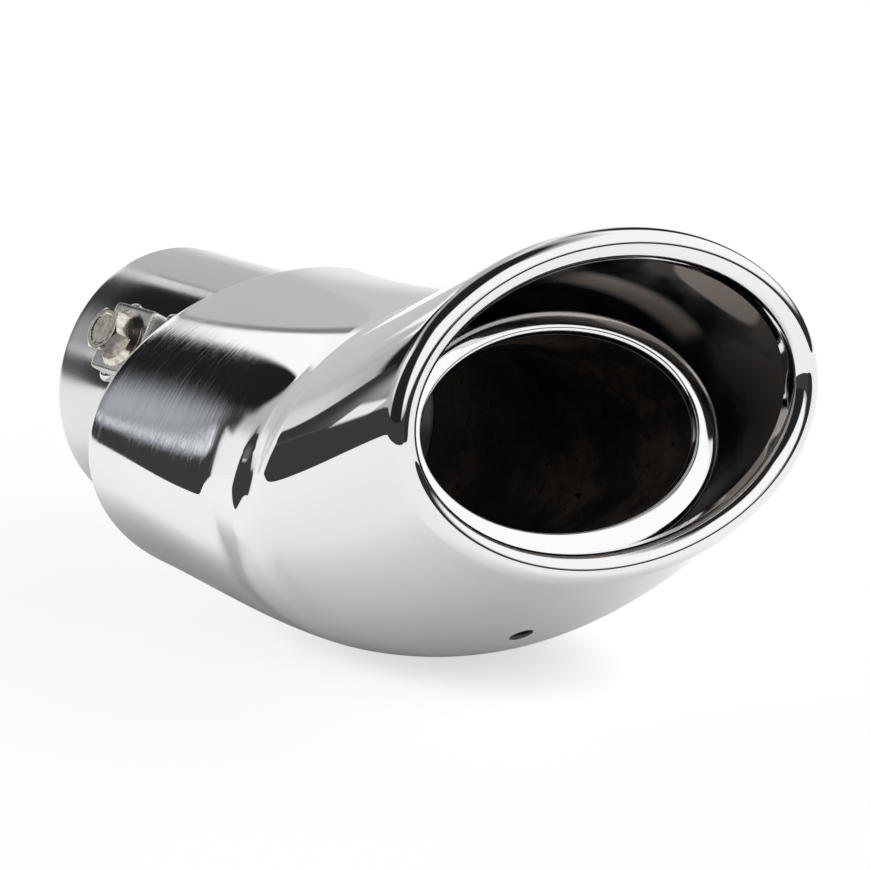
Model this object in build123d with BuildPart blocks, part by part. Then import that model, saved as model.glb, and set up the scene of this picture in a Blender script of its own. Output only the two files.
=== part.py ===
# Oval double-walled exhaust tip, clamped on a tailpipe by one bolt.
# Millimetres. The inlet's open end is centred on the origin, its axis is Y, the mouth faces -Y and Z is up.
# Distances called "at" run forward from the open end, and heights run up from the inlet's axis.
import os
from math import cos, radians, sin

from build123d import *

# Inlet sleeve
sleeve_d = 66.0
sleeve_wall = 1.5
sleeve_length = 66.0

# Outer shell: rear wall, crease and rolled mouth
shell_wall = 1.2
rear_at = 52.0
rear_width = 117.0
rear_crown = 35.8
rear_keel = 38.4
rear_edge_radius = 3.0
crease_at = 126.5
crease_width = 127.0
crease_crown = 42.8
crease_keel = 41.0
rear_flare = 2.0
rim_at = 168.0
rim_height = 23.0
rim_width = 119.6
rim_depth = 76.4
rim_tilt = 10.0
rim_roll_d = 7.0
rim_wall = 0.8
rim_hem = 2.0
keel_rear_slope = 3.0
keel_crease_slope = 9.0
keel_rim_slope = 31.0
rear_stations = 4
front_stations = 6
drain_d = 5.0
drain_at = 141.0

# Inner pipe and its rolled lip
pipe_wall = 1.5
mouth_at = 154.0
mouth_height = 14.7
mouth_width = 75.4
mouth_depth = 45.8
mouth_tilt = 28.0
lip_roll_d = 4.8
lip_wall = 1.0
lip_hem = 2.0
pipe_stations = 5

# Clamp nut and bolt
clamp_at = 29.0
clamp_angle = 30.0
nut_side = 17.0
nut_height = 5.0
nut_chamfer = 0.8
weld_stud_d = 3.6
weld_stud_inset = 2.2
bolt_d = 6.0
bolt_flats = 10.0
bolt_head_height = 4.6
bolt_chamfer = 0.6
flange_d = 14.2
flange_height = 1.8
flange_taper = 30.0
bolt_tip_margin = 0.3

# Clearances
sleeve_fit = 0.1
thread_fit = 0.1
bolt_hole_gap = 0.5
sew_depth = 0.5

sleeve_r = sleeve_d / 2
bore_r = sleeve_r - sleeve_wall


def bend_point(at, height):
    """A point of the bend plane, the tip's plane of symmetry."""
    return Vector(0, -at, height)


def tilted_up(tilt):
    """The way up in a section plane whose normal climbs by tilt degrees towards the mouth."""
    return Vector(0, sin(radians(tilt)), cos(radians(tilt)))


def heading(slope):
    """The forward direction that climbs by slope degrees."""
    return Vector(0, -cos(radians(slope)), sin(radians(slope)))


def section_plane(crown, keel):
    """The plane across the tip that holds a crown point and a keel point."""
    across = Vector(1, 0, 0)
    return Plane(origin=(crown + keel) / 2, x_dir=across, z_dir=across.cross(crown - keel))


# The rails: crown above and keel below, from the rear wall over the crease to the rim
rear_keel_point = bend_point(rear_at, -rear_keel)
crease_crown_point = bend_point(crease_at, crease_crown)
crease_keel_point = bend_point(crease_at, -crease_keel)
rim_centre = bend_point(rim_at, rim_height)
rim_crown_point = rim_centre + tilted_up(rim_tilt) * (rim_depth / 2)
rim_keel_point = rim_centre - tilted_up(rim_tilt) * (rim_depth / 2)
rear_keel_rail = Spline(
    (rear_keel_point, crease_keel_point),
    tangents=(heading(-keel_rear_slope), heading(keel_crease_slope)),
)
front_keel_rail = Spline(
    (crease_keel_point, rim_keel_point),
    tangents=(heading(keel_crease_slope), heading(keel_rim_slope)),
)


def rear_section(share):
    """Crown point, keel point and half width at a share of the way from the rear wall to the crease."""
    keel = rear_keel_rail @ share
    flare = share**rear_flare
    crown = Vector(0, keel.Y, rear_crown + (crease_crown - rear_crown) * flare)
    half_width = (rear_width + (crease_width - rear_width) * flare) / 2
    return crown, keel, half_width


def front_section(share):
    """Crown point, keel point and half width at a share of the way from the crease to the rim."""
    crown = crease_crown_point + (rim_crown_point - crease_crown_point) * share
    half_width = (crease_width + (rim_width - crease_width) * share**2) / 2
    return crown, front_keel_rail @ share, half_width


rear_sections = [rear_section(step / (rear_stations - 1)) for step in range(rear_stations)]
front_sections = [front_section(step / (front_stations - 1)) for step in range(front_stations)]

# Outer shell: the outside, then the hollow, both lofted over the same sections
with BuildPart() as outside:
    for crown, keel, half_width in rear_sections:
        with BuildSketch(section_plane(crown, keel)):
            Ellipse(half_width, (crown - keel).length / 2)
    loft()
    fillet(outside.edges().group_by(Axis.Y)[-1], rear_edge_radius)
    for crown, keel, half_width in front_sections:
        with BuildSketch(section_plane(crown, keel)):
            Ellipse(half_width, (crown - keel).length / 2)
    loft()

with BuildPart() as hollow:
    for crown, keel, half_width in rear_sections:
        with BuildSketch(section_plane(crown, keel)):
            Ellipse(half_width - shell_wall, (crown - keel).length / 2 - shell_wall)
    loft()
    with BuildSketch(Plane.XZ.offset(rear_at)):
        Rectangle(2 * rear_width, 2 * rear_width)
    extrude(amount=shell_wall, mode=Mode.SUBTRACT)
    for crown, keel, half_width in front_sections:
        with BuildSketch(section_plane(crown, keel)):
            Ellipse(half_width - shell_wall, (crown - keel).length / 2 - shell_wall)
    loft()

# The mouth's edge, rolled inward round the rim
rim_plane = section_plane(rim_crown_point, rim_keel_point)
rim_roll_r = rim_roll_d / 2
rim_reach = (shell_wall - rim_wall) / 2 + rim_roll_r
with BuildLine(rim_plane) as rim_path:
    EllipticalCenterArc(
        (0, 0), rim_width / 2 - rim_reach, rim_depth / 2 - rim_reach, arc_size=360
    )
rim_roll_plane = Plane(origin=rim_path.line @ 0, x_dir=rim_plane.x_dir, z_dir=-rim_plane.y_dir)

# The drain hole opens straight down through the keel
drain_plane = Plane(origin=bend_point(drain_at, -crease_keel), z_dir=(0, 0, 1))

with BuildPart() as outer_shell:
    add(outside.part)
    add(hollow.part, mode=Mode.SUBTRACT)
    with BuildSketch(rim_roll_plane):
        Circle(rim_roll_r)
        Circle(rim_roll_r - rim_wall, mode=Mode.SUBTRACT)
        with Locations((0, -rim_roll_r)):
            Rectangle(2 * rim_roll_d, rim_roll_d, mode=Mode.SUBTRACT)
        with Locations((-(rim_roll_d - rim_wall) / 2, -rim_hem / 2)):
            Rectangle(rim_wall, rim_hem)
        with Locations(((rim_roll_d - rim_wall) / 2, -sew_depth / 2)):
            Rectangle(rim_wall, sew_depth)
    sweep(path=rim_path.wire())
    with BuildSketch(Plane.XZ.offset(rear_at - shell_wall)):
        Circle(sleeve_r + sleeve_fit)
    extrude(amount=3 * shell_wall, mode=Mode.SUBTRACT)
    with BuildSketch(drain_plane):
        Circle(drain_d / 2)
    extrude(amount=crease_keel, mode=Mode.SUBTRACT)
outer_shell.part.label = "outer_shell"

# Inner pipe: round where it meets the sleeve, oval and turned up at the mouth
mouth_centre = bend_point(mouth_at, mouth_height)
pipe_start = bend_point(sleeve_length, 0)
pipe_rail = Spline((pipe_start, mouth_centre), tangents=(heading(0), heading(mouth_tilt)))


def pipe_section(share):
    """Section plane and bore radii at a share of the way from the sleeve to the mouth."""
    blend = share * share * (3 - 2 * share)
    plane = Plane(origin=pipe_rail @ share, x_dir=(1, 0, 0), z_dir=pipe_rail % share)
    across = bore_r + (mouth_width / 2 - bore_r) * blend
    upright = bore_r + (mouth_depth / 2 - bore_r) * blend
    return plane, across, upright


pipe_sections = [pipe_section(step / (pipe_stations - 1)) for step in range(pipe_stations)]
mouth_plane = pipe_sections[-1][0]
lip_roll_r = lip_roll_d / 2
lip_reach = (pipe_wall - lip_wall) / 2 + lip_roll_r
with BuildLine(mouth_plane) as lip_path:
    EllipticalCenterArc(
        (0, 0), mouth_width / 2 + lip_reach, mouth_depth / 2 + lip_reach, arc_size=360
    )
lip_roll_plane = Plane(origin=lip_path.line @ 0, x_dir=mouth_plane.x_dir, z_dir=-mouth_plane.y_dir)

with BuildPart() as inner_pipe:
    for plane, across, upright in pipe_sections:
        with BuildSketch(plane):
            Ellipse(across + pipe_wall, upright + pipe_wall)
    loft()
    for plane, across, upright in pipe_sections:
        with BuildSketch(plane):
            Ellipse(across, upright)
    loft(mode=Mode.SUBTRACT)
    with BuildSketch(lip_roll_plane):
        Circle(lip_roll_r)
        Circle(lip_roll_r - lip_wall, mode=Mode.SUBTRACT)
        with Locations((0, -lip_roll_r)):
            Rectangle(2 * lip_roll_d, lip_roll_d, mode=Mode.SUBTRACT)
        with Locations(((lip_roll_d - lip_wall) / 2, -lip_hem / 2)):
            Rectangle(lip_wall, lip_hem)
        with Locations((-(lip_roll_d - lip_wall) / 2, -sew_depth / 2)):
            Rectangle(lip_wall, sew_depth)
    sweep(path=lip_path.wire())
inner_pipe.part.label = "inner_pipe"

# The clamp's axis leaves the sleeve's left flank square to its surface
clamp_axis = Vector(-cos(radians(clamp_angle)), 0, sin(radians(clamp_angle)))
clamp_plane = Plane(origin=(0, -clamp_at, 0), x_dir=(0, -1, 0), z_dir=clamp_axis)
clamp_line = Axis(clamp_plane.origin, clamp_axis)

# Inlet sleeve: a plain tube with the bolt's hole through its flank
with BuildPart() as inlet_sleeve:
    with BuildSketch(Plane.XZ):
        Circle(sleeve_r)
        Circle(bore_r, mode=Mode.SUBTRACT)
    extrude(amount=sleeve_length)
    with BuildSketch(clamp_plane):
        Circle(bolt_d / 2 + bolt_hole_gap)
    extrude(amount=sleeve_d, mode=Mode.SUBTRACT)
inlet_sleeve.part.label = "inlet_sleeve"

# Square nut, standing on the sleeve on the weld studs under its corners
with BuildPart() as clamp_nut:
    with BuildSketch(clamp_plane.offset(sleeve_r)):
        Rectangle(nut_side, nut_side)
    extrude(amount=nut_height)
    chamfer(clamp_nut.faces().sort_by(clamp_line)[-1].edges(), nut_chamfer)
    with BuildSketch(clamp_plane):
        with GridLocations(nut_side - 2 * weld_stud_inset, nut_side - 2 * weld_stud_inset, 2, 2):
            Circle(weld_stud_d / 2)
    extrude(amount=sleeve_r)
    with BuildSketch(Plane.XZ):
        Circle(sleeve_r)
    extrude(amount=sleeve_length, mode=Mode.SUBTRACT)
    with BuildSketch(clamp_plane):
        Circle(bolt_d / 2 + thread_fit)
    extrude(amount=sleeve_d, mode=Mode.SUBTRACT)
clamp_nut.part.label = "clamp_nut"

# Hexagon flange bolt, its tip just clear of the bore
seat_r = sleeve_r + nut_height
with BuildPart() as clamp_bolt:
    with BuildSketch(clamp_plane.offset(bore_r + bolt_tip_margin)):
        Circle(bolt_d / 2)
    extrude(amount=seat_r - bore_r - bolt_tip_margin)
    with BuildSketch(clamp_plane.offset(seat_r)):
        Circle(flange_d / 2)
    extrude(amount=flange_height, taper=flange_taper)
    with BuildSketch(clamp_plane.offset(seat_r + flange_height)):
        RegularPolygon(bolt_flats / 2, 6, major_radius=False)
    extrude(amount=bolt_head_height)
    chamfer(clamp_bolt.faces().sort_by(clamp_line)[-1].edges(), bolt_chamfer)
clamp_bolt.part.label = "clamp_bolt"

os.makedirs("parts", exist_ok=True)
for piece in (outer_shell, inner_pipe, inlet_sleeve, clamp_nut, clamp_bolt):
    export_step(piece.part, f"parts/{piece.part.label}.step")
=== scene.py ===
# %% [markdown]
# # An oval exhaust tip in polished steel
# The part was drawn as solids first, with true walls. This lesson puts a finer skin over each solid,
# because a mirror shows every facet, and then adds a finish, a floor, light and a camera.

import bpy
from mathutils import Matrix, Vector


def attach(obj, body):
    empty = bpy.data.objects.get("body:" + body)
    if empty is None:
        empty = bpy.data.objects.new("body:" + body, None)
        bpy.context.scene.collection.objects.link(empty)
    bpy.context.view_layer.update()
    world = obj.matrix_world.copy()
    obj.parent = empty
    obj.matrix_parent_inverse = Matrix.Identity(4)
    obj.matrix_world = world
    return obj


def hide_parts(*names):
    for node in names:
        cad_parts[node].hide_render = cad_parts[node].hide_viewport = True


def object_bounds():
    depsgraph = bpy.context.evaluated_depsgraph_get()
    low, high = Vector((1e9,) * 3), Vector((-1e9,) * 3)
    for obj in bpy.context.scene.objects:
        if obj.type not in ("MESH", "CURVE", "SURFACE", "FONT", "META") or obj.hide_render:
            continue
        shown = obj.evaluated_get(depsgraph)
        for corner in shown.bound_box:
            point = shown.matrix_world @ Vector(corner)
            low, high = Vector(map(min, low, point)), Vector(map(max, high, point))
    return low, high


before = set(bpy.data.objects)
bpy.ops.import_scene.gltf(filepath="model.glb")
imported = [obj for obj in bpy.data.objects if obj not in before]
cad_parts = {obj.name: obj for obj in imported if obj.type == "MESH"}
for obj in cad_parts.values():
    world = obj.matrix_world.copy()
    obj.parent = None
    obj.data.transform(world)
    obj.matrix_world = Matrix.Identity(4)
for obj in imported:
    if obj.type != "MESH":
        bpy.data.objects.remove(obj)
cad_low, cad_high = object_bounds()
print("solids:", ", ".join(sorted(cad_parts)))

# %% [markdown]
# ## From a grid of points to a mesh
# Every skin below is a function of two parameters. numpy works it out for a whole grid at once, rows one
# way and columns the other, and this helper turns grids into one mesh object. All sizes are millimetres,
# and Blender works in metres, so the helper also scales. A grid that comes back to where it began is closed
# by wrapping its indices.

import bmesh
import bpy
import numpy as np
from mathutils import Matrix

MM = 0.001
POLE_WITHIN, WELD_WITHIN = 1e-6, 1e-7


def skin(name, *grids, sharp=38):
    """One mesh from pairs of points[row, column, xyz] in mm and a length along[row, column]. Neighbouring
    points make quads and columns close round. Rows close round too, unless the first and last row are single
    points: those become poles. Edges sharper than `sharp` degrees stay crisp."""
    points, quads, lengths, count = [], [], [], 0
    for grid, along in grids:
        index = np.arange(grid.shape[0] * grid.shape[1]).reshape(grid.shape[:2]) + count
        has_poles = np.ptp(grid[0], axis=0).max() < POLE_WITHIN
        index = np.pad(index, ((0, 0 if has_poles else 1), (0, 1)), mode="wrap")
        corners = [index[:-1, :-1], index[:-1, 1:], index[1:, 1:], index[1:, :-1]]
        quads.append(np.stack(corners, -1).reshape(-1, 4))
        points.append(grid.reshape(-1, 3))
        lengths.append(np.broadcast_to(along, grid.shape[:2]).ravel())
        count += grid.shape[0] * grid.shape[1]
    points, quads, lengths = np.concatenate(points), np.concatenate(quads), np.concatenate(lengths)
    a, b, c, d = (points[quads[:, corner]] for corner in range(4))
    volume = (a * (np.cross(b, c) + np.cross(c, d))).sum()
    quads = quads if volume > 0 else quads[:, ::-1]
    mesh = bpy.data.meshes.new(name)
    mesh.vertices.add(len(points))
    mesh.vertices.foreach_set("co", (points * MM).astype(np.float32).ravel())
    mesh.loops.add(quads.size)
    mesh.loops.foreach_set("vertex_index", quads.astype(np.int32).ravel())
    mesh.polygons.add(len(quads))
    mesh.polygons.foreach_set("loop_start", np.arange(0, quads.size, 4, dtype=np.int32))
    mesh.update(calc_edges=True)
    layer = mesh.attributes.new("along", "FLOAT", "POINT")
    layer.data.foreach_set("value", lengths.astype(np.float32))
    weld = bmesh.new()
    weld.from_mesh(mesh)
    bmesh.ops.remove_doubles(weld, verts=weld.verts, dist=WELD_WITHIN)
    weld.to_mesh(mesh)
    weld.free()
    mesh.shade_smooth()
    mesh.set_sharp_from_angle(angle=np.radians(sharp))
    piece = bpy.data.objects.new(name, mesh)
    bpy.context.scene.collection.objects.link(piece)
    print(f"{name}: {len(mesh.vertices)} points, {len(mesh.polygons)} faces")
    return piece


# %% [markdown]
# ## Directions, curves and walls
# Rails, slopes and walls come up for almost every piece, so they get small helpers. A cubic that leaves and
# arrives along given directions draws a rail from a handful of sizes, and a wall is the same grid again,
# set in along its normals.

# %% Curve and wall helpers
FULL_TURN = 2 * np.pi


def once_round(count):
    """Angles of `count` columns, evenly spaced once round."""
    return np.arange(count)[None, :] * FULL_TURN / count


def lengths_along(grid):
    """Distance in mm from the first row, measured down the first column, as one value for each row."""
    steps = np.linalg.norm(np.diff(grid[:, 0], axis=0), axis=-1)
    return np.concatenate([[0], np.cumsum(steps)])[:, None]


def hermite(start, end, leave, arrive, share):
    """Cubic from start to end that leaves and arrives along two unit directions, as strong as the chord."""
    start, end, leave, arrive = (np.asarray(v, float) for v in (start, end, leave, arrive))
    chord = np.linalg.norm(end - start)
    s = np.asarray(share)[..., None]
    return (
        (2 * s**3 - 3 * s**2 + 1) * start
        + (s**3 - 2 * s**2 + s) * chord * leave
        + (3 * s**2 - 2 * s**3) * end
        + (s**3 - s**2) * chord * arrive
    )


def heading(slope):
    """Forward, towards the mouth, climbing by slope degrees."""
    return np.array([0, -np.cos(np.radians(slope)), np.sin(np.radians(slope))])


def upright(slope):
    """Up, square to heading(slope) and in the plane of symmetry."""
    return np.array([0, np.sin(np.radians(slope)), np.cos(np.radians(slope))])


def normals(grid):
    """Outward unit normals of a grid whose columns go round: the cross product of its steps both ways."""
    along = np.gradient(grid, axis=0)
    around = np.roll(grid, -1, 1) - np.roll(grid, 1, 1)
    n = np.cross(around, along)
    return n / np.linalg.norm(n, axis=-1, keepdims=True)


def sheet_metal(grid, wall):
    """A closed skin round a sheet: the grid, then back along every other row, set in by the wall."""
    return np.concatenate([grid, (grid - wall * normals(grid))[::-2]])


def eased(distance, reach):
    """The positive part of a distance, rounded by a parabola within reach of zero: it bends by 45 degrees."""
    return np.clip(distance + reach, 0, 2 * reach) ** 2 / (4 * reach) + np.maximum(distance - reach, 0)


def smooth(value, low, high):
    """Eases from 0 to 1 while the value goes from low to high."""
    share = np.clip((value - low) / (high - low), 0, 1)
    return share * share * (3 - 2 * share)


print("level heading:", heading(0), "upright:", upright(0))

# %% [markdown]
# ## The rails of the outer casing
# The real casing is pressed from stainless sheet: an oval tube whose front part is turned up. Two rails in
# the plane of symmetry carry it, the crown above and the keel below, and an oval joins them at each
# station. The keel is one smooth line. The crown has a kink where the front part begins, and that kink is
# the crease on the upper side.

# %% Rails of the casing
REAR_AT, CREASE_AT, RIM_AT = 52.0, 126.5, 169.4
REAR_LENGTH, FRONT_LENGTH = CREASE_AT - REAR_AT, 39.2
REAR_CROWN, CREASE_CROWN = 35.8, 42.8
REAR_KEEL, CREASE_KEEL = -38.4, -41.0
REAR_HALF_WIDTH, CREASE_HALF_WIDTH = 58.5, 63.5
RIM_TILT, RIM_HALF_WIDTH, RIM_HALF_DEPTH, RIM_HEIGHT = 7.0, 59.0, 38.2, 22.85
KEEL_SLOPE_REAR, KEEL_SLOPE_CREASE, KEEL_SLOPE_RIM = -3, 9, 31

rim_centre = np.array([0, -RIM_AT, RIM_HEIGHT])
rim_crown = rim_centre + RIM_HALF_DEPTH * upright(RIM_TILT)
rim_keel = rim_centre - RIM_HALF_DEPTH * upright(RIM_TILT)
crease_crown = np.array([0, -CREASE_AT, CREASE_CROWN])
crease_keel = np.array([0, -CREASE_AT, CREASE_KEEL])
rear_keel = np.array([0, -REAR_AT, REAR_KEEL])
print("rim from", rim_keel.round(1), "to", rim_crown.round(1))

# %% [markdown]
# ## The sides of the outer casing
# A kink is softened by easing from one straight line to the next over a short distance. Making that
# distance long on the lower side lets the crease die out there, as it does on the real pressing. Down the
# flanks the crease goes on as a ridge: the sides flare out to it from behind, a shallow groove runs ahead
# of it, and the widest line of the flank dips on its way there. All of this is small, but a mirror shows
# it. Where on the oval each of these begins and ends is given by the level, the sine of the turn: 1 at the
# crown, 0 at the widest line and -1 at the keel.

# %% Oval sections on the rails
CREASE_SHARP, CREASE_FADED, CREASE_FADES = 1.8, 9.0, (0.0, -0.5)
RIDGE_BACK, RIDGE_SHARP, RIDGE_TOP, RIDGE_FOOT = 10.0, 1.0, (1.0, 0.5), (-0.15, 0.25)
FLARE_FROM, FLARE_EASING, FLARE_TOP, FLARE_FOOT = 15.5, 3, (0.54, 0.36), (-0.95, -0.3)
GROWTH, STRAIGHT_GROWTH = CREASE_HALF_WIDTH - REAR_HALF_WIDTH, 1.4
GROOVE, GROOVE_AHEAD, GROOVE_WIDTH = 0.3, 9.0, 2.4
DIP_REAR, DIP_RIDGE, DIP_LEVELS, DIP_GROWS, DIP_ENDS = 0.8, -8.0, 0.45, (-0.1, 0.92), (-7, 5)


def casing(distance, turn):
    """Outside of the casing. distance runs from the crease, negative to the rear; turn goes round the oval
    from the right flank over the crown. Each rail is its rear curve plus its front curve, less the joint they
    share. A point is the middle of the rails, plus the sine of the turn times half of what lies between them,
    plus the cosine times the half width. The half width flares out to the ridge and loses a bell-shaped
    groove ahead of it, and a bell curve of the level lowers the flank."""
    level = np.sin(turn)
    reach = CREASE_SHARP + (CREASE_FADED - CREASE_SHARP) * smooth(level, *CREASE_FADES)
    ahead = eased(distance, reach)
    rear, front = 1 + (distance - ahead) / REAR_LENGTH, ahead / FRONT_LENGTH
    keel_rear = hermite(rear_keel, crease_keel, heading(KEEL_SLOPE_REAR), heading(KEEL_SLOPE_CREASE), rear)
    keel_front = hermite(crease_keel, rim_keel, heading(KEEL_SLOPE_CREASE), heading(KEEL_SLOPE_RIM), front)
    keel = keel_rear + keel_front - crease_keel
    climb = REAR_CROWN + (CREASE_CROWN - REAR_CROWN) * rear**2
    crown = np.stack([0 * rear, keel_rear[..., 1], climb], -1)
    crown = crown + (rim_crown - crease_crown) * front[..., None]

    flank = smooth(level, *RIDGE_TOP) * smooth(level, *RIDGE_FOOT)
    past_ridge = distance + RIDGE_BACK * flank
    ramp = (eased(past_ridge + FLARE_FROM, FLARE_EASING) - eased(past_ridge, RIDGE_SHARP)) / FLARE_FROM
    flare = STRAIGHT_GROWTH * rear**2 + (GROWTH - STRAIGHT_GROWTH) * ramp
    flared = smooth(level, *FLARE_FOOT) * smooth(level, *FLARE_TOP)
    growth = GROWTH * rear**3 * (1 - flared) + flare * flared
    groove = GROOVE * flank * np.exp(-(((past_ridge - GROOVE_AHEAD) / GROOVE_WIDTH) ** 2))
    half = REAR_HALF_WIDTH + growth - groove + (RIM_HALF_WIDTH - CREASE_HALF_WIDTH) * front**2

    dip = DIP_REAR + (DIP_RIDGE - DIP_REAR) * smooth(rear, *DIP_GROWS)
    dip = dip - DIP_RIDGE * smooth(distance, *DIP_ENDS)
    point = (crown + keel) / 2 + (crown - keel) / 2 * level[..., None]
    point[..., 2] += dip * np.exp(-((level / DIP_LEVELS) ** 2))
    point[..., 0] += half * np.cos(turn)
    return point


print("crown at the crease:", casing(np.array([[0.0]]), np.array([[np.pi / 2]]))[0, 0].round(2))

# %% [markdown]
# ## The rolled rim
# The mouth's edge is rolled inward, which makes it stiff and blunt. Round the rim the casing arrives at a
# slightly different slant at each place, so the roll is an arc that starts along the casing's own slant and
# turns on until it points back inside. Where the casing leans out, it stops a little sooner, so that the
# crest stays in one plane. The slant is measured by a short step back from the end.

# %% Where the casing stops
ROLL, STEP_BACK, COLUMNS = 3.5, 0.5, 300
turn = once_round(COLUMNS)


def outward(half_width, half_depth, slope):
    """Unit normals of an oval, in its plane square to heading(slope): the gradient of (x/a)^2 + (z/b)^2."""
    n = np.stack([np.cos(turn) / half_width, np.sin(turn) / half_depth], -1)
    n = n / np.linalg.norm(n, axis=-1, keepdims=True)
    return n[..., :1] * np.array([1, 0, 0]) + n[..., 1:] * upright(slope)


out_of_rim = outward(RIM_HALF_WIDTH, RIM_HALF_DEPTH, RIM_TILT)
full_length = np.full_like(turn, FRONT_LENGTH)
step = casing(full_length, turn) - casing(full_length - STEP_BACK, turn)
slant = np.arctan2((step * out_of_rim).sum(-1), step @ heading(RIM_TILT))
speed = np.linalg.norm(step, axis=-1) / STEP_BACK
mouth_end = FRONT_LENGTH - ROLL * np.tan(slant) / speed
print("slant at the rim, degrees:", np.degrees(slant).min().round(1), "to", np.degrees(slant).max().round(1))

# %% [markdown]
# ## The casing as one sheet
# The casing's outside is one strip of rows: the flat rear wall from the sleeve's hole outwards, the rounded
# rear edge, the sides, the roll and the hem. Rows lie closest where the form bends most, at the ridge and
# the crease. Going back over every other row, set in by the wall, makes the inside and closes the sheet.

# %% The casing as one sheet
WALL, HEM, EDGE, SLEEVE_HOLE = 1.2, 2.0, 3.0, 33.1
SPARSE_TO, FINE_TO, FINEST_TO = -30, -13, 6
FRONT_ROWS, EDGE_ROWS, REAR_ROWS, ROLL_ROWS, HEM_ROWS = 34, 9, 8, 37, 4

stretches = ((EDGE - REAR_LENGTH, SPARSE_TO, 16), (SPARSE_TO, FINE_TO, 24), (FINE_TO, FINEST_TO, 70))
sides = np.concatenate([np.linspace(start, end, rows, endpoint=False) for start, end, rows in stretches])
forward = FINEST_TO + (mouth_end - FINEST_TO) * np.linspace(0, 1, FRONT_ROWS)[:, None]
stations = np.concatenate([sides[:, None] + 0 * turn, forward])
body = casing(stations, turn + 0 * stations)

round_off = np.linspace(np.pi / 2, 0, EDGE_ROWS)[:-1, None, None]
out_of_rear = outward(REAR_HALF_WIDTH, (REAR_CROWN - REAR_KEEL) / 2, 0)
rear_edge = body[:1] + EDGE * ((np.cos(round_off) - 1) * out_of_rear - np.sin(round_off) * heading(0))
hole = SLEEVE_HOLE * np.stack([np.cos(turn), 0 * turn, np.sin(turn)], -1) + np.array([0, -REAR_AT, 0])
rear_wall = hole + (rear_edge[:1] - hole) * np.linspace(0, 1, REAR_ROWS)[:-1, None, None]

bend = (slant + (-np.pi - slant) * np.linspace(0, 1, ROLL_ROWS)[1:, None])[..., None]
rolls_forward = np.sin(slant)[..., None] - np.sin(bend)
rolls_outward = np.cos(bend) - np.cos(slant)[..., None]
rolled = body[-1:] + ROLL * (rolls_forward * heading(RIM_TILT) + rolls_outward * out_of_rim)
hem = rolled[-1:] - heading(RIM_TILT) * HEM * np.linspace(0, 1, HEM_ROWS)[1:, None, None]

outside = np.concatenate([rear_wall, rear_edge, body, rolled, hem])
shell = sheet_metal(outside, WALL)
shell_along = lengths_along(shell)
casing_length = float(shell_along[len(outside) - 1, 0])
outer_shell = skin("casing_skin", (shell, shell_along))

# %% [markdown]
# ## The drain hole
# Water that gathers in the casing runs out of a small hole punched beside the keel. A punched hole is
# easiest to make the way the press makes it: a round punch is driven through the sheet, here with a Boolean
# that is applied at once.

# %% Punching holes
DRAIN, DRAIN_RADIUS, DRAIN_STROKE, PUNCH_SIDES = (-8.5, -150.5, -50), 2.5, 25, 48


def punch(piece, centre, axis, radius, length):
    """Cuts a round hole: a closed cylinder from centre along axis is taken away from the piece."""
    axis = np.asarray(axis, float) / np.linalg.norm(axis)
    side = np.cross(axis, [1, 0, 0] if abs(axis[0]) < 0.9 else [0, 0, 1])
    side /= np.linalg.norm(side)
    angle = once_round(PUNCH_SIDES)[..., None]
    ring = np.cos(angle) * side + np.sin(angle) * np.cross(axis, side)
    size = np.array([0, 1, 1, 0])[:, None, None] * radius
    reach = np.array([0, 0, 1, 1])[:, None, None] * length
    grid = np.asarray(centre, float) + ring * size + axis * reach
    cutter = skin("punch", (grid, reach[..., 0]))
    cut = piece.modifiers.new("hole", "BOOLEAN")
    cut.object, cut.operation, cut.solver = cutter, "DIFFERENCE", "EXACT"
    bpy.context.view_layer.update()
    solid = bpy.data.meshes.new_from_object(piece.evaluated_get(bpy.context.evaluated_depsgraph_get()))
    piece.modifiers.clear()
    piece.data = solid
    bpy.data.objects.remove(cutter)
    print(f"{piece.name}: hole of {2 * radius} mm, now {len(solid.polygons)} faces")


punch(outer_shell, DRAIN, (0, 0, 1), DRAIN_RADIUS, DRAIN_STROKE)

# %% [markdown]
# ## The inner pipe
# The gas leaves through an inner pipe, round where it meets the sleeve and oval at the mouth, turned up
# with the casing. The section is a round that eases into the mouth's oval, on a rail that leaves level and
# arrives at the mouth's own slope.

# %% Bore of the inner pipe
BORE, SLEEVE_LENGTH, BORE_ROWS = 31.5, 66.0, 70
MOUTH_SLOPE, MOUTH_HALF_WIDTH, MOUTH_HALF_DEPTH = 28.0, 37.3, 22.4
MOUTH_AT, MOUTH_HEIGHT = 152.2, 13.9
pipe_from, mouth_centre = np.array([0, -SLEEVE_LENGTH, 0]), np.array([0, -MOUTH_AT, MOUTH_HEIGHT])

share = np.linspace(0, 1, BORE_ROWS)
rail = hermite(pipe_from, mouth_centre, heading(0), heading(MOUTH_SLOPE), share)
travel = np.gradient(rail, axis=0)
travel /= np.linalg.norm(travel, axis=-1, keepdims=True)
travel[0], travel[-1] = heading(0), heading(MOUTH_SLOPE)
square_to_rail = np.stack([0 * share, travel[:, 2], -travel[:, 1]], -1)
ease = smooth(share, 0, 1)
wide = (BORE + (MOUTH_HALF_WIDTH - BORE) * ease)[:, None, None]
deep = (BORE + (MOUTH_HALF_DEPTH - BORE) * ease)[:, None, None]
cos_turn, sin_turn = np.cos(turn)[..., None], np.sin(turn)[..., None]
bore = rail[:, None] + wide * cos_turn * [1, 0, 0] + deep * sin_turn * square_to_rail[:, None]
print("bore:", bore.shape[:2], "points")

# %% [markdown]
# ## The lip
# The pipe's end is rolled outward into a broad lip, a little broader below than above. A half-round lip
# would mirror the whole room in thin lines, and the real one is nearly flat on top, so its bulge is the
# square root of 1 - u^4 across the lip. The wall thins out just behind the lip.

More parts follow.
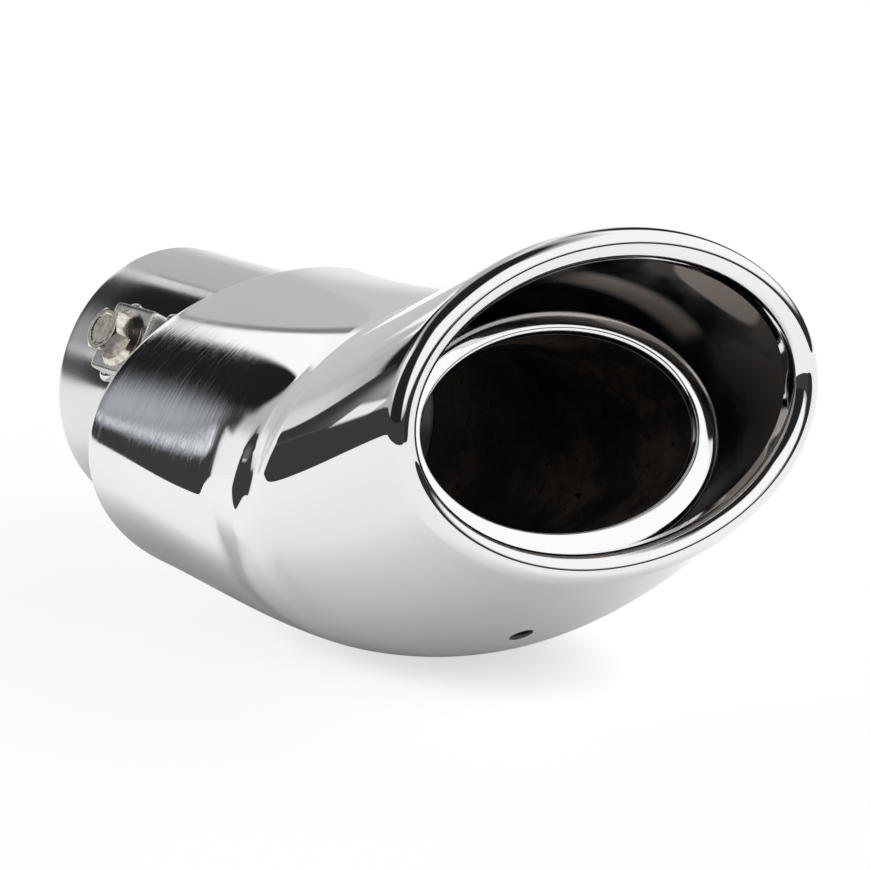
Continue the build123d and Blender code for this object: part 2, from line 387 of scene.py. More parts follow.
# %% Lip and outer wall of the inner pipe
PIPE_WALL, LIP_WALL, THINNING_ROWS = 1.5, 0.6, 10
LIP_HALF_WIDTH, LIP_BULGE, LIP_STAND, LIP_SKEW = 3.0, 1.2, 1.2, 0.18
LIP_ROWS, LIP_HEM_ROWS = 49, 5

out_of_mouth = outward(MOUTH_HALF_WIDTH, MOUTH_HALF_DEPTH, MOUTH_SLOPE)
across = -np.cos(np.linspace(0, np.pi, LIP_ROWS))[:, None, None]
bulge = LIP_STAND + LIP_BULGE * np.sqrt(1 - across**4)
lip_half = LIP_HALF_WIDTH * (1 - LIP_SKEW * sin_turn)
lip = bore[-1:] + bulge * heading(MOUTH_SLOPE) + lip_half * (1 + across) * out_of_mouth
back_down = (LIP_STAND + HEM) * np.linspace(0, 1, LIP_HEM_ROWS)[1:, None, None]
lip_hem = lip[-1:] - heading(MOUTH_SLOPE) * back_down
inside = np.concatenate([bore, lip, lip_hem])
thinning = [BORE_ROWS - THINNING_ROWS, BORE_ROWS - 1]
wall = np.interp(np.arange(len(inside)), thinning, [PIPE_WALL, LIP_WALL])[:, None, None]
pipe = np.concatenate([inside, (inside + wall * normals(inside))[::-1]])
pipe_along = lengths_along(pipe)
bore_length, lip_end = float(pipe_along[BORE_ROWS - 1, 0]), float(pipe_along[len(inside) - 1, 0])
inner_pipe = skin("gas_pipe_skin", (pipe, pipe_along))

# %% [markdown]
# ## The inlet sleeve
# The sleeve is a plain length of tube that slides over the car's tailpipe. Its cut ends are deburred, so
# the profile has small rounds at its corners. It is carried once round the axis, and punched for the clamp
# bolt.

# %% Sleeve
SLEEVE, DEBURR, RUN_CLEAR = 33.0, 0.45, 2
END_ROWS, RUN_ROWS, SLEEVE_COLUMNS = 6, 24, 240
CLAMP_AT, CLAMP_ANGLE = 29.0, np.radians(30)
BOLT_HOLE, PUNCH_FROM, PUNCH_STROKE = 3.5, 25, 12
clamp_axis = np.array([-np.cos(CLAMP_ANGLE), 0, np.sin(CLAMP_ANGLE)])
clamp_side = np.array([np.sin(CLAMP_ANGLE), 0, np.cos(CLAMP_ANGLE)])
clamp_centre = np.array([0, -CLAMP_AT, 0])

arc = np.linspace(0, np.pi / 2, END_ROWS)
end_radius = np.concatenate([BORE + DEBURR * (1 - np.cos(arc)), SLEEVE - DEBURR * (1 - np.sin(arc))])
end_depth = DEBURR * np.concatenate([1 - np.sin(arc), 1 - np.cos(arc)])
run = np.linspace(RUN_CLEAR, SLEEVE_LENGTH - RUN_CLEAR, RUN_ROWS)
outer_run, inner_run = np.full(RUN_ROWS, SLEEVE), np.full(RUN_ROWS, BORE)
profile_radius = np.concatenate([end_radius, outer_run, end_radius[::-1], inner_run])[:, None]
profile_depth = np.concatenate([end_depth, run, SLEEVE_LENGTH - end_depth[::-1], run[::-1]])[:, None]
round_turn = once_round(SLEEVE_COLUMNS)
round_x, round_z = profile_radius * np.cos(round_turn), profile_radius * np.sin(round_turn)
sleeve = np.stack(np.broadcast_arrays(round_x, -profile_depth, round_z), -1)
inlet_sleeve = skin("sleeve_skin", (sleeve, profile_depth))
punch(inlet_sleeve, clamp_centre + clamp_axis * PUNCH_FROM, clamp_axis, BOLT_HOLE, PUNCH_STROKE)

# %% [markdown]
# ## The clamp nut
# A square nut is welded to the sleeve by lumps under its corners, and the bolt in it bites on the tailpipe.
# A square with rounded corners is a superellipse: the power mean of the two distances. The nut's profile is
# carried round that outline: each ring has its share of the way from the thread to the outline, how many
# bevels it is set in, and its height.

# %% Square nut
NUT_HALF, NUT_HEIGHT, NUT_BEVEL, NUT_LIFT, THREAD = 8.5, 5.0, 0.8, 0.05, 3.1
CORNER_POWER, NUT_COLUMNS = 16, 160


def on_clamp(x, y, height):
    """Points on the clamp's axes: x along the sleeve, y round it, height out from the sleeve's own axis."""
    return (
        clamp_centre
        + np.multiply.outer(x, [0, -1.0, 0])
        + np.multiply.outer(y, clamp_side)
        + np.multiply.outer(height, clamp_axis)
    )


nut_turn = once_round(NUT_COLUMNS)
powers = np.abs(np.cos(nut_turn)) ** CORNER_POWER + np.abs(np.sin(nut_turn)) ** CORNER_POWER
square = powers ** (-1 / CORNER_POWER)
top, foot = SLEEVE + NUT_HEIGHT, SLEEVE + NUT_LIFT
rings = (
    (0, 0, top),
    (0.12, 0, top),
    (0.5, 0, top),
    (0.8, 0, top),
    (1, 1.05, top),
    (1, 0.35, top - 0.25),
    (1, 0, top - 0.9),
    (1, 0, foot + 0.35),
    (0.8, 0, foot),
    (0.4, 0, foot),
    (0, 0, foot),
)
ring_share, ring_bevels, ring_height = (np.array(column)[:, None] for column in zip(*rings))
nut_radius = THREAD + (NUT_HALF * square - THREAD) * ring_share - ring_bevels * NUT_BEVEL
nut_x, nut_y = nut_radius * np.cos(nut_turn), nut_radius * np.sin(nut_turn)
nut = on_clamp(nut_x, nut_y, ring_height + 0 * nut_radius)
print("nut from", foot, "to", top, "mm off the sleeve's axis")

# %% [markdown]
# ## The weld lumps
# Each lump is a small dome of melted metal squeezed out at a corner of the nut, lying on the sleeve. An egg
# with three half sizes is enough. The lumps are part of the nut's mesh, and a high value of the length
# along their grids marks them for the finish.

# %% Nut with its weld lumps
LUMP_AT, LUMP_LONG, LUMP_WIDE, LUMP_HIGH, LUMP_LIFT, LUMP_MARK = 8.2, 2.3, 1.9, 1.5, 0.3, 20
LUMP_ROWS, LUMP_COLUMNS = 15, 28
polar = np.linspace(0, np.pi, LUMP_ROWS)[:, None]
lump_turn = once_round(LUMP_COLUMNS)


def weld_lump(along_sign, side_sign):
    """An egg-shaped lump at one corner of the nut: sines and cosines of two angles, on the round sleeve."""
    x = along_sign * LUMP_AT + LUMP_LONG * np.sin(polar) * np.cos(lump_turn)
    y = side_sign * LUMP_AT + LUMP_WIDE * np.sin(polar) * np.sin(lump_turn)
    on_sleeve = np.sqrt(SLEEVE**2 - (side_sign * LUMP_AT) ** 2)
    height = on_sleeve + LUMP_LIFT + LUMP_HIGH * np.cos(polar) + 0 * lump_turn
    return on_clamp(x, y, height), LUMP_MARK + polar


lumps = [weld_lump(*signs) for signs in ((1, 1), (1, -1), (-1, 1), (-1, -1))]
clamp_nut = skin("weld_nut_skin", (nut, nut_radius), *lumps)

# %% [markdown]
# ## The clamp bolt
# A hexagon is the distance to its nearest flat divided by a cosine, so one formula gives the head's
# outline. Cutting the head with a shallow cone leaves the curved chamfers that a real bolt head has. The
# flange below is a flat cone, and the shank is plain, because the thread is hidden in the nut.

# %% Flange bolt
FLATS, HEAD, SHANK, TIP_AT, TIP_BEVEL = 5.0, 4.6, 3.0, 31.8, 0.6
FLANGE, FLANGE_TOP, FLANGE_HEIGHT, FLANGE_BEVEL, FLANGE_ROUND = 7.1, 5.95, 1.8, 0.3, 0.25
CHAMFER_FROM, CHAMFER_SLOPE, DISH_RADIUS, DISH_DEPTH, DISH_EDGE = 4.85, 0.55, 4.1, 0.35, 0.5
BOLT_COLUMNS, HEAD_ROWS, FACE_ROWS = 180, 12, 24

bolt_turn = once_round(BOLT_COLUMNS)
hexagon = FLATS / np.cos(np.mod(bolt_turn, np.pi / 3) - np.pi / 6)
seat, head_foot, head_top = top, top + FLANGE_HEIGHT, top + FLANGE_HEIGHT + HEAD
shank = (
    (0, TIP_AT),
    (SHANK - TIP_BEVEL, TIP_AT),
    (SHANK, TIP_AT + TIP_BEVEL),
    (SHANK, seat),
    (FLANGE - FLANGE_BEVEL, seat),
    (FLANGE, seat + FLANGE_ROUND),
    (FLANGE, seat + 2 * FLANGE_ROUND),
    (FLANGE - FLANGE_ROUND, seat + 3 * FLANGE_ROUND),
    (FLANGE_TOP, head_foot),
)
shank_radius, shank_height = (np.array(column)[:, None] + 0 * bolt_turn for column in zip(*shank))


def head_surface(radius):
    """Height of the head's top: level inside, then a cone that cuts the corners, and a shallow dish."""
    cone = np.maximum(radius - CHAMFER_FROM, 0) * CHAMFER_SLOPE
    return head_top - cone - DISH_DEPTH * smooth(radius, DISH_RADIUS, DISH_RADIUS - DISH_EDGE)


side_share = np.linspace(0, 1, HEAD_ROWS)[:, None]
side_height = head_foot + (head_surface(hexagon) - head_foot) * side_share
face_radius = hexagon * np.linspace(1, 0, FACE_ROWS)[1:, None]
bolt_radius = np.concatenate([shank_radius, hexagon + 0 * side_share, face_radius])
bolt_height = np.concatenate([shank_height, side_height, head_surface(face_radius)])
bolt = on_clamp(bolt_radius * np.cos(bolt_turn), bolt_radius * np.sin(bolt_turn), bolt_height)
clamp_bolt = skin("bolt_skin", (bolt, bolt_radius), sharp=30)

# %% [markdown]
# ## Finishes
# A finish is a graph of shader nodes, and graphs read badly as code. A small class wraps an output socket,
# so that ordinary arithmetic adds the Math nodes, and one method adds any other node.

# %% Shader helper


class Wire:
    """An output socket with arithmetic: an expression on wires adds the Math nodes that work it out."""

    def __init__(self, tree, socket=None):
        self.tree, self.socket = tree, socket

    def node(self, kind, settings=None, out=0, **values):
        """Adds a node: settings are its own properties, values are sockets by name, with _ for a space, or by
        number, as in i0."""
        made = self.tree.nodes.new(kind)
        for name, value in (settings or {}).items():
            setattr(made, name, value)
        for name, value in values.items():
            numbered = name[0] == "i" and name[1:].isdigit()
            socket = made.inputs[int(name[1:]) if numbered else name.replace("_", " ")]
            if isinstance(value, Wire):
                self.tree.links.new(value.socket, socket)
            else:
                socket.default_value = value
        return Wire(self.tree, made.outputs[out])

    def math(self, operation, *values):
        """A Math node on the values."""
        numbered = {f"i{place}": value for place, value in enumerate(values)}
        return self.node("ShaderNodeMath", {"operation": operation}, **numbered)

    def __add__(self, other):
        return self.math("ADD", self, other)

    def __sub__(self, other):
        return self.math("SUBTRACT", self, other)

    def __rsub__(self, other):
        return self.math("SUBTRACT", other, self)

    def __mul__(self, other):
        return self.math("MULTIPLY", self, other)

    __radd__, __rmul__ = __add__, __mul__

    def step(self, low, high):
        """Eases from 0 to 1 while the value goes from low to high, and back to 0 where low is the higher."""
        span = {"From_Min": low, "From_Max": high}
        if low > high:
            span = {"From_Min": high, "From_Max": low, "To_Min": 1, "To_Max": 0}
        return self.node("ShaderNodeMapRange", {"interpolation_type": "SMOOTHSTEP"}, Value=self, **span)

    def zone(self, low, high):
        """The same easing for a place, with low and high in millimetres."""
        return self.step(low * MM, high * MM)

    def blend(self, first, second):
        """From the first colour to the second as this wire goes from 0 to 1."""
        return self.node("ShaderNodeMix", {"data_type": "RGBA"}, out=2, i0=self, i6=first, i7=second)

    def noise(self, scale, detail=2.0, rough=0.5):
        """Smooth random value at this place, with features of about one over scale."""
        return self.node("ShaderNodeTexNoise", Vector=self, Scale=scale, Detail=detail, Roughness=rough)

    def into(self, shader, socket):
        """Links this wire to a socket of the shader."""
        self.tree.links.new(self.socket, shader.inputs[socket])


print("wires can:", ", ".join(name for name in vars(Wire) if not name.startswith("_")))

# %% [markdown]
# ## What every finish needs
# Each finish starts from the place on the piece and from the length along its grid, which the skins carry
# as an attribute. Brushed metal has lines that are close together one way and long the other, so its noise
# is stretched: quick along the piece, slow round it.

# %% Places, lengths and brushing
LINES_ROUND = 45


def new_finish(name, metallic=1.0):
    """A new material: returns it, its shader, the place on the piece in metres and the length along in mm."""
    material = bpy.data.materials.new(name)
    material.use_nodes = True
    shader = material.node_tree.nodes["Principled BSDF"]
    shader.inputs["Metallic"].default_value = metallic
    start = Wire(material.node_tree)
    place = start.node("ShaderNodeTexCoord", out=3)
    along = start.node("ShaderNodeAttribute", {"attribute_name": "along"}, out=2)
    return material, shader, place, along


def axes_of(place):
    """The three parts of a vector as wires."""
    parts = place.node("ShaderNodeSeparateXYZ", Vector=place)
    return [Wire(place.tree, socket) for socket in parts.socket.node.outputs]


def brushing(place, along, lines):
    """Lines round the piece: noise that changes `lines` times a millimetre lengthways and slowly round."""
    x, _, z = axes_of(place)
    stretched = place.node("ShaderNodeCombineXYZ", X=along * lines, Y=x * LINES_ROUND, Z=z * LINES_ROUND)
    return stretched.noise(1.0, detail=4, rough=0.65)


def report(name, material):
    """Prints how large a finish has become."""
    print(name, "finish:", len(material.node_tree.nodes), "nodes")


# %% [markdown]
# ## Polished stainless steel
# The casing is mirror-polished. The flanks of its rear part still show the belt: fine lines that run round
# it, smear highlights lengthways and fade towards the crease. The lines are a bump made of stretched noise,
# which makes the steel rougher too. The slight blue tint on the upper belt is a painted reflection of the
# bluish room that the brushed field mirrors.

# %% Polish and belt lines
BELT_ALONG, BELT_TOP, BELT_FOOT, BLUE_REFLECTION_TOP = (-119, -88), (34, 22), (-1, 7), (26, 17)
BELT_LINES, BELT_DEPTH, SMEAR_SCALE, WIPE_SCALE = 1.6, 0.044, 35, 12
POLISH, SMEARED, BELT_ROUGH, LINE_ROUGH = 0.02, 0.02, 0.03, 0.20
STEEL, WIPED_STEEL, BLUE_REFLECTION_TINT = (0.80, 0.80, 0.805, 1), (0.84, 0.84, 0.84, 1), (0.74, 0.785, 0.84, 1)

polished, shader, place, along = new_finish("polished_steel")
x, y, z = axes_of(place)
inside_wall = along.step(casing_length + 0.2, casing_length + 0.9)
brushed = y.zone(*BELT_ALONG) * z.zone(*BELT_TOP) * z.zone(*BELT_FOOT) * (1 - inside_wall)
lines = brushing(place, along, BELT_LINES)
bump = place.node("ShaderNodeBump", Height=lines * brushed, Distance=BELT_DEPTH * MM, Strength=1.0)
bump.into(shader, "Normal")
smears = place.noise(SMEAR_SCALE, detail=4)
roughness = POLISH + SMEARED * smears.step(0.45, 0.75)
roughness = roughness + brushed * (BELT_ROUGH + LINE_ROUGH * lines.step(0.45, 0.70))
wiped = place.noise(WIPE_SCALE).step(0.35, 0.7).blend(STEEL, WIPED_STEEL)
# painted reflection: a blue tint on the upper belt stands for the bluish room that the brushed field mirrors
outer_colour = (brushed * z.zone(*BLUE_REFLECTION_TOP)).blend(wiped, BLUE_REFLECTION_TINT)
report("polished outside", polished)

# %% [markdown]
# ## Dark hole edge, heat tint and painted highlights
# The punched edge of the drain hole is bare and rough, and its colour is a painted shade, nearly black, so
# that the slit shows dark; whatever lies close to the hole's axis gets that look. Inside, where no belt
# reached, the sheet is duller, and the heat of welding and of the gas has left faint bronze clouds
# everywhere. A band along the crease and an oval patch near the mouth are painted highlights: light that the
# inside wall mirrors, painted as bright bronze over the real tint. Where tint or painted highlights lie, the
# sheet is less metallic too.

# %% Casing finish
RAW_FROM, RAW_FULL, RAW_BELOW = DRAIN_RADIUS + 0.3, DRAIN_RADIUS + 0.1, (0, -10)
BAND_REAR, BAND_FRONT, BAND_LEFT, BAND_RIGHT = (-129, -133), (-141, -137), (6, 26), (55, 50)
PATCH_X, PATCH_Y, PATCH_HALF_WIDTH, PATCH_HALF_LENGTH, PATCH_EDGE = 43, -154.5, 11.5, 6.8, (1.2, 0.8)
HIGHLIGHTS_ABOVE, FAINT, INSIDE_ROUGH, RAW_ROUGH = (15, 25), 0.40, 0.22, 0.4
DULL_STEEL, BRONZE_HIGHLIGHT, SLIT_SHADE = (0.42, 0.41, 0.405, 1), (1.0, 0.87, 0.77, 1), (0.10, 0.095, 0.09, 1)

from_hole_x, from_hole_y = x - DRAIN[0] * MM, y - DRAIN[1] * MM
near_hole = from_hole_x * from_hole_x + from_hole_y * from_hole_y
# painted shade: the cut edge of the drain hole is painted nearly black so that the slit shows dark; its
# roughness is real
raw_edge_and_slit_shade = near_hole.step((RAW_FROM * MM) ** 2, (RAW_FULL * MM) ** 2) * z.zone(*RAW_BELOW)
(roughness + INSIDE_ROUGH * inside_wall + RAW_ROUGH * raw_edge_and_slit_shade).into(shader, "Roughness")
# painted highlights: a bright bronze band along the crease and an oval patch near the mouth stand for
# mirrored light
crease_highlight_band = y.zone(*BAND_FRONT) * y.zone(*BAND_REAR) * x.zone(*BAND_LEFT) * x.zone(*BAND_RIGHT)
patch_x = (x - PATCH_X * MM) * (1 / (PATCH_HALF_WIDTH * MM))
patch_y = (y - PATCH_Y * MM) * (1 / (PATCH_HALF_LENGTH * MM))
mouth_highlight_patch = (patch_x * patch_x + patch_y * patch_y).step(*PATCH_EDGE)
bronze_highlights = place.math("MAXIMUM", crease_highlight_band, mouth_highlight_patch) * z.zone(*HIGHLIGHTS_ABOVE)
heat_tint_and_highlights = place.math("MAXIMUM", FAINT * smears.step(0.46, 0.62), bronze_highlights)
# heat tint and painted highlights are less metallic, so the highlights take diffuse light
(1 - inside_wall * heat_tint_and_highlights).into(shader, "Metallic")
inner_colour = heat_tint_and_highlights.blend(DULL_STEEL, BRONZE_HIGHLIGHT)
raw_edge_and_slit_shade.blend(inside_wall.blend(outer_colour, inner_colour), SLIT_SHADE).into(shader, "Base Color")
report("casing", polished)

# %% [markdown]
# ## Lip and sooty bore
# Only the lip of the inner pipe is polished. The bore has run hot: a matt, nearly black oxide with brown
# patches and a few black specks. The pipe's outer wall has the dull bronze of the casing's inside. The
# length along the pipe says which is which, so no seam has to be drawn.

# %% Inner pipe finish
LIP_STEEL, DULL_PIPE, BRONZE_PIPE = (0.86, 0.86, 0.86, 1), (0.50, 0.47, 0.45, 1), (0.76, 0.63, 0.54, 1)
SOOT, BROWN_OXIDE, SPECK = (0.012, 0.011, 0.010, 1), (0.130, 0.095, 0.072, 1), (0.004, 0.004, 0.004, 1)
CLOUD_SCALE, SPECK_SCALE, GRAIN_DEPTH, SOOT_SHEEN = 70, 420, 0.4, 0.1
LIP_ROUGH, SOOT_ROUGH, CLOUD_ROUGH, BRONZE_HIDES = 0.05, 0.45, 0.25, 0.65

pipe_finish, shader, place, along = new_finish("pipe_steel")
sooty = along.step(bore_length + 0.4, bore_length - 0.4)
outer_wall = along.step(lip_end + 0.2, lip_end + 0.9)
cloud = place.noise(CLOUD_SCALE, detail=5, rough=0.62)
specks = place.noise(SPECK_SCALE, detail=2).step(0.64, 0.7) * cloud.step(0.45, 0.6)
oxide = specks.blend(cloud.step(0.38, 0.72).blend(SOOT, BROWN_OXIDE), SPECK)
tinted = cloud.step(0.4, 0.65).blend(DULL_PIPE, BRONZE_PIPE)
outer_wall.blend(sooty.blend(LIP_STEEL, oxide), tinted).into(shader, "Base Color")
roughness = LIP_ROUGH + sooty * (SOOT_ROUGH + CLOUD_ROUGH * cloud) + INSIDE_ROUGH * outer_wall
roughness.into(shader, "Roughness")
(1 - sooty - BRONZE_HIDES * outer_wall).into(shader, "Metallic")
shader.inputs["Specular IOR Level"].default_value = SOOT_SHEEN
grain = place.node("ShaderNodeBump", Height=cloud * sooty, Distance=GRAIN_DEPTH * MM, Strength=0.5)
grain.into(shader, "Normal")
report("inner pipe", pipe_finish)

# %% [markdown]
# ## Sleeve
# The sleeve is tube as it comes, buffed but softer than the casing, and duller towards its cut end. Its
# bore is a dull grey that turns to soot further in, where the gas passes.

# %% Sleeve finish
BUFFED, BUFFED_PALE = (0.72, 0.72, 0.725, 1), (0.80, 0.80, 0.80, 1)
GREY_BORE, SOOTY_BORE = (0.36, 0.34, 0.32, 1), (0.035, 0.030, 0.026, 1)
BUFF_LINES, BUFF_DEPTH, BUFF_SCALE, DULL_END, SOOT_GROWS = 1.4, 0.016, 18, (-22, -4), (-15, -50)
BUFF_ROUGH, BUFF_LINE_ROUGH, BORE_ROUGH, END_ROUGH = 0.06, 0.08, 0.2, 0.12

sleeve_finish, shader, place, along = new_finish("sleeve_steel")
x, y, z = axes_of(place)
outer_square = (SLEEVE * MM) ** 2
bore_side = (x * x + z * z).step(outer_square * 0.96, outer_square * 0.93)
lines = brushing(place, along, BUFF_LINES)
bump = place.node("ShaderNodeBump", Height=lines, Distance=BUFF_DEPTH * MM, Strength=1.0)
bump.into(shader, "Normal")
roughness = BUFF_ROUGH + BUFF_LINE_ROUGH * lines + BORE_ROUGH * bore_side + END_ROUGH * y.zone(*DULL_END)
roughness.into(shader, "Roughness")
wiped = place.noise(BUFF_SCALE, detail=3).step(0.3, 0.7).blend(BUFFED, BUFFED_PALE)
sooty = bore_side * y.zone(*SOOT_GROWS)
bore_side.blend(wiped, sooty.blend(GREY_BORE, SOOTY_BORE)).into(shader, "Base Color")
(1 - sooty).into(shader, "Metallic")
report("sleeve", sleeve_finish)

# %% [markdown]
# ## Nut
# The nut is bare steel with a grey, slightly blasted skin, so it gets a fine grit as a bump. Its weld lumps
# are smooth and bright because they melted, and their mark on the grid tells them apart.

# %% Nut finish
NUT_STEEL, NUT_STAIN = (0.82, 0.81, 0.78, 1), (0.62, 0.60, 0.56, 1)
GRIT_SCALE, GRIT_DEPTH, STAIN_SCALE = 1400, 0.03, 260
NUT_ROUGH, GRIT_ROUGH, MELTED_SMOOTH = 0.20, 0.14, 0.16

nut_finish, shader, place, along = new_finish("weld_nut_steel")
melted = along.step(LUMP_MARK - 1, LUMP_MARK)
grit = place.noise(GRIT_SCALE, detail=3, rough=0.6)
bump = place.node("ShaderNodeBump", Height=grit * (1 - melted), Distance=GRIT_DEPTH * MM, Strength=0.6)
bump.into(shader, "Normal")
(NUT_ROUGH + GRIT_ROUGH * grit - MELTED_SMOOTH * melted).into(shader, "Roughness")
stain = place.noise(STAIN_SCALE, detail=3).step(0.35, 0.7)
stain.blend(NUT_STEEL, NUT_STAIN).into(shader, "Base Color")
report("nut", nut_finish)

# %% [markdown]
# ## Bolt
# The bolt is zinc-plated and worn. Its face has been turned, which leaves rings: a sine of the radius, and
# the radius is what its grid carries as a length. Small dents from the spanner and from the forge lie over
# them.

# %% Bolt finish
ZINC, WORN_ZINC = (0.78, 0.74, 0.67, 1), (0.50, 0.46, 0.40, 1)
RINGS, RING_SHARE, DENT_SCALE, DENT_DEPTH = 7.0, 0.12, 700, 0.05
ZINC_ROUGH, DENT_ROUGH = 0.08, 0.16

bolt_finish, shader, place, along = new_finish("bolt_zinc")
turned = place.math("SINE", along * RINGS)
dents = place.noise(DENT_SCALE, detail=4, rough=0.6)
height = RING_SHARE * turned + dents
bump = place.node("ShaderNodeBump", Height=height, Distance=DENT_DEPTH * MM, Strength=0.6)
bump.into(shader, "Normal")
(ZINC_ROUGH + DENT_ROUGH * dents).into(shader, "Roughness")
dents.step(0.38, 0.68).blend(ZINC, WORN_ZINC).into(shader, "Base Color")
report("bolt", bolt_finish)

# %% [markdown]
# ## Each skin rides the body and stands for its solid
# The tip is one rigid piece, so every skin rides the same body and takes over its solid's place in the
# picture.

# %% Dress the solids
dressed = (
    (outer_shell, "outer_shell", "polished_steel", polished),
    (inner_pipe, "inner_pipe", "pipe_steel", pipe_finish),
    (inlet_sleeve, "inlet_sleeve", "sleeve_steel", sleeve_finish),
    (clamp_nut, "clamp_nut", "weld_nut", nut_finish),
    (clamp_bolt, "clamp_bolt", "bolt", bolt_finish),
)
for piece, node, slot, material in dressed:
    piece.data.materials.clear()
    piece.data.materials.append(material)
    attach(piece, "root")
    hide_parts(node)
    print(f"{piece.name} stands for {node}")

# %% [markdown]
# ## The table
# The part lies on a plain white table that ends some way to the left, so that the left flank mirrors the
# dark skirting of the wall beyond it.

# %% White floor
FLOOR_REACH, TABLE_EDGE = 6000 * MM, 700 * MM
floor_level = min(cad_low[2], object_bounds()[0][2])
left, right, near, far = -TABLE_EDGE, FLOOR_REACH, -FLOOR_REACH, FLOOR_REACH
corners = [(x, y, floor_level) for x, y in ((left, near), (right, near), (right, far), (left, far))]
floor_mesh = bpy.data.meshes.new("studio_floor")
floor_mesh.from_pydata(corners, [], [(0, 1, 2, 3)])
floor = bpy.data.objects.new("studio_floor", floor_mesh)
bpy.context.scene.collection.objects.link(floor)
print("floor at", round(floor_level / MM, 2), "mm")

# %% [markdown]
# ## The white of the table
# Paint alone would go grey, so the table also glows. The Light Path node tells who is looking: the camera
# sees darker paint and more glow, which gives white with a soft shadow, and mirrors see the white paint
# with a glow that fades under the part, so that its belly darkens towards the ground. Two ovals say where
# the glow fades; that fade is a painted shadow, over the real shading of the paint.

# %% Floor paint
PAINT, PAINT_FOR_CAMERA = 0.92, 0.35
CAMERA_GLOW, CAMERA_GLOW_BESIDE, SHADOW_OVAL = 0.64, 0.20, (-112, 34, 58)
MIRROR_GLOW, MIRROR_GLOW_AROUND, MIRROR_SHADOW_OVAL = 0.06, 0.56, (-75, 100, 170)

floor_paint, shader, place, _ = new_finish("floor_paint", metallic=0.0)
shader.inputs["Roughness"].default_value = 1.0
shader.inputs["Specular IOR Level"].default_value = 0.0
shader.inputs["Emission Strength"].default_value = 1.0
path = place.node("ShaderNodeLightPath").socket.node.outputs
rays = ("Is Camera Ray", "Is Glossy Ray", "Is Transmission Ray")
camera_ray, glossy_ray, through_ray = (Wire(place.tree, path[ray]) for ray in rays)
across, deep, _ = axes_of(place)


def clear_of(middle, half_width, half_length):
    """0 under the part's middle, easing to 1 at an oval round it: the sum of the squared shares of its half
    sizes, all in mm."""
    offset = deep - middle * MM
    wide, long = 1 / (half_width * MM) ** 2, 1 / (half_length * MM) ** 2
    return (across * across * wide + offset * offset * long).step(0, 1)


(PAINT - (PAINT - PAINT_FOR_CAMERA) * camera_ray).into(shader, "Base Color")
# painted shadow: inside each oval the glow fades under the part
for_camera = camera_ray * (CAMERA_GLOW + CAMERA_GLOW_BESIDE * clear_of(*SHADOW_OVAL))
for_mirrors = (glossy_ray + through_ray) * (MIRROR_GLOW + MIRROR_GLOW_AROUND * clear_of(*MIRROR_SHADOW_OVAL))
(for_camera + for_mirrors).into(shader, "Emission Color")
floor_mesh.materials.append(floor_paint)
report("floor", floor_paint)

# %% [markdown]
# ## The studio
# Polished steel has no look of its own: it shows the room. A studio for bright metal has softboxes and a
# few dark cards, placed so that their edges draw the form. Here the room is painted on the sky. Bearing is
# measured from straight behind the part, positive to the right, and height is the angle above the floor,
# both in degrees. Each panel is a window of bearings and heights with soft edges, and later panels cover
# earlier ones.

# %% Sky coordinates
world = bpy.data.worlds.new("studio")
bpy.context.scene.world = world
world.use_nodes = True
sky = Wire(world.node_tree)
east, north, high = axes_of(sky.node("ShaderNodeTexCoord", out=0))
bearing = sky.math("DEGREES", sky.math("ARCTAN2", east, north))
height = sky.math("DEGREES", sky.math("ARCSINE", high))


def window(left, right, low, high, soft, lean):
    """1 inside a window of bearings and heights, easing to 0 over `soft` degrees to each side of an edge. An
    edge at 180 is no edge. A leaning window shifts its bearings to the left by `lean` times the height."""
    sideways = bearing + lean * height if lean else bearing
    edges = ((sideways, left, 1), (sideways, right, -1), (height, low, 1), (height, high, -1))
    edges = [(value, edge, way * soft) for value, edge, way in edges if abs(edge) < 180]
    masks = [value.step(edge - reach, edge + reach) for value, edge, reach in edges]
    whole = masks[0]
    for mask in masks[1:]:
        whole = whole * mask
    return whole


print("sky coordinates:", len(world.node_tree.nodes), "nodes")

# %% [markdown]
# ## The panels
# The list below names every card and lamp of the studio: the left and right edge, the low and high edge,
# how soft the edges are, how bright it is, and how far it leans. The leaning strip light is the white shape
# on the casing's shoulder, the black card is the dark field under it, and the skirtings draw the dark bands
# near the floor. The camera itself sees plain white behind the part, whatever the metal mirrors.

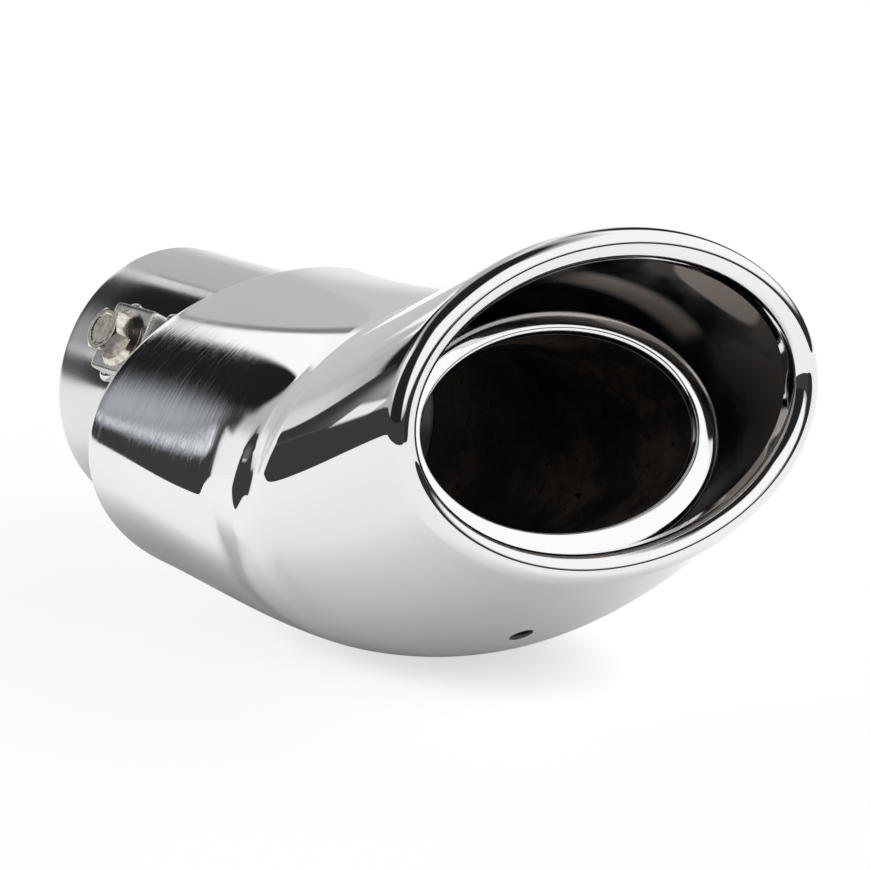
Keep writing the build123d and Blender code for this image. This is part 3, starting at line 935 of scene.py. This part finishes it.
# %% Panels round the part
ROOM = 0.52
PANELS = (
    ("dark ceiling", -180, 180, 60, 180, 5, 0.02, 0),
    ("right softbox", 64, 180, 10, 52, 4, 1.12, 0),
    ("front softbox", 136, 180, 14, 62, 4, 1.12, 0),
    ("front softbox past straight ahead", -180, -156, 14, 62, 4, 1.12, 0),
    ("dark side wall", -154, -74, -180, 75, 4, 0.02, 0),
    ("left softbox", -72, -42, 22, 56, 4, 1.00, 0),
    ("pale corner", 34, 44, -180, 60, 3, 0.90, 0),
    ("dark post", 44, 65, -180, 42, 3, 0.02, 0),
    ("dark skirting on the right", 66, 180, -180, 8, 2, 0.03, 0),
    ("dark skirting in front", 150, 180, -180, 14, 3, 0.03, 0),
    ("grey back wall", -11, 34, -180, 13, 2, 0.62, 0),
    ("white part of the back wall", -14, 0, -180, 13, 4, 1.00, 0),
    ("grey screen", 7, 34, 12, 33, 0.8, 0.57, 0),
    ("leaning strip light", 16.5, 31, 15.5, 33, 0.8, 1.15, 0.548),
    ("foot of the strip light", 22, 31, 10, 18, 1, 1.10, 0.548),
    ("dark gap beside the strip light", 30.7, 32.1, 13.5, 33, 0.5, 0.26, 0.548),
    ("black card", -34, 7, 17.8, 46, 0.8, 0.015, 0),
    ("foot of the black card", -36, -10, 10, 20, 0.7, 0.045, 0),
    ("grey glow on the left", -60, -22, 14, 36, 8, 0.50, 0),
    ("dark skirting on the left", -180, -14, -180, 10.5, 0.6, 0.05, 0),
    ("small lamp on the left", -37, -25, 10.2, 13.8, 0.7, 1.00, 0),
)
room = ROOM
for _, left, right, low, high, soft, light, lean in PANELS:
    room = window(left, right, low, high, soft, lean) * (light - room) + room
camera_ray = sky.node("ShaderNodeLightPath")
room = camera_ray * (1 - room) + room
room.into(world.node_tree.nodes["Background"], "Color")
print("studio of", len(PANELS), "panels:", len(world.node_tree.nodes), "nodes")

# %% [markdown]
# ## The camera
# The portrait is taken from the front left, a little above the part, with a long lens from nearly a metre,
# so the far end of the tip hardly shrinks. The camera stands on a bearing and a height round the point that
# it looks at. The Standard view shows colours as they are written.

# %% Camera
BEARING, HEIGHT, DISTANCE = np.radians(37.0), np.radians(12.8), 900 * MM
LOOK_AT = np.array([-2.4, -111.1, 6.4]) * MM
SENSOR, FIELD = 36.0, 0.2175
right = np.array([np.cos(BEARING), -np.sin(BEARING), 0])
level_back = np.array([-np.sin(BEARING), -np.cos(BEARING), 0])
back = level_back * np.cos(HEIGHT) + np.array([0, 0, np.sin(HEIGHT)])
camera_data = bpy.data.cameras.new("portrait")
camera_data.sensor_width, camera_data.lens = SENSOR, SENSOR / FIELD
camera = bpy.data.objects.new("portrait", camera_data)
bpy.context.scene.collection.objects.link(camera)
stand = np.column_stack([right, np.cross(back, right), back, LOOK_AT + DISTANCE * back])
camera.matrix_world = Matrix([*stand.tolist(), [0, 0, 0, 1]])
bpy.context.scene.camera = camera
bpy.context.scene.view_settings.view_transform = "Standard"
print("lens", round(camera_data.lens, 1), "mm")

# %% [markdown]
# ## The size of the solids
# The skins should not outgrow the solids that they stand for, so the box round the solids is printed as
# their measure.

# %% Size of the solids
print("solids:", [round(h - l, 4) for l, h in zip(cad_low, cad_high)])
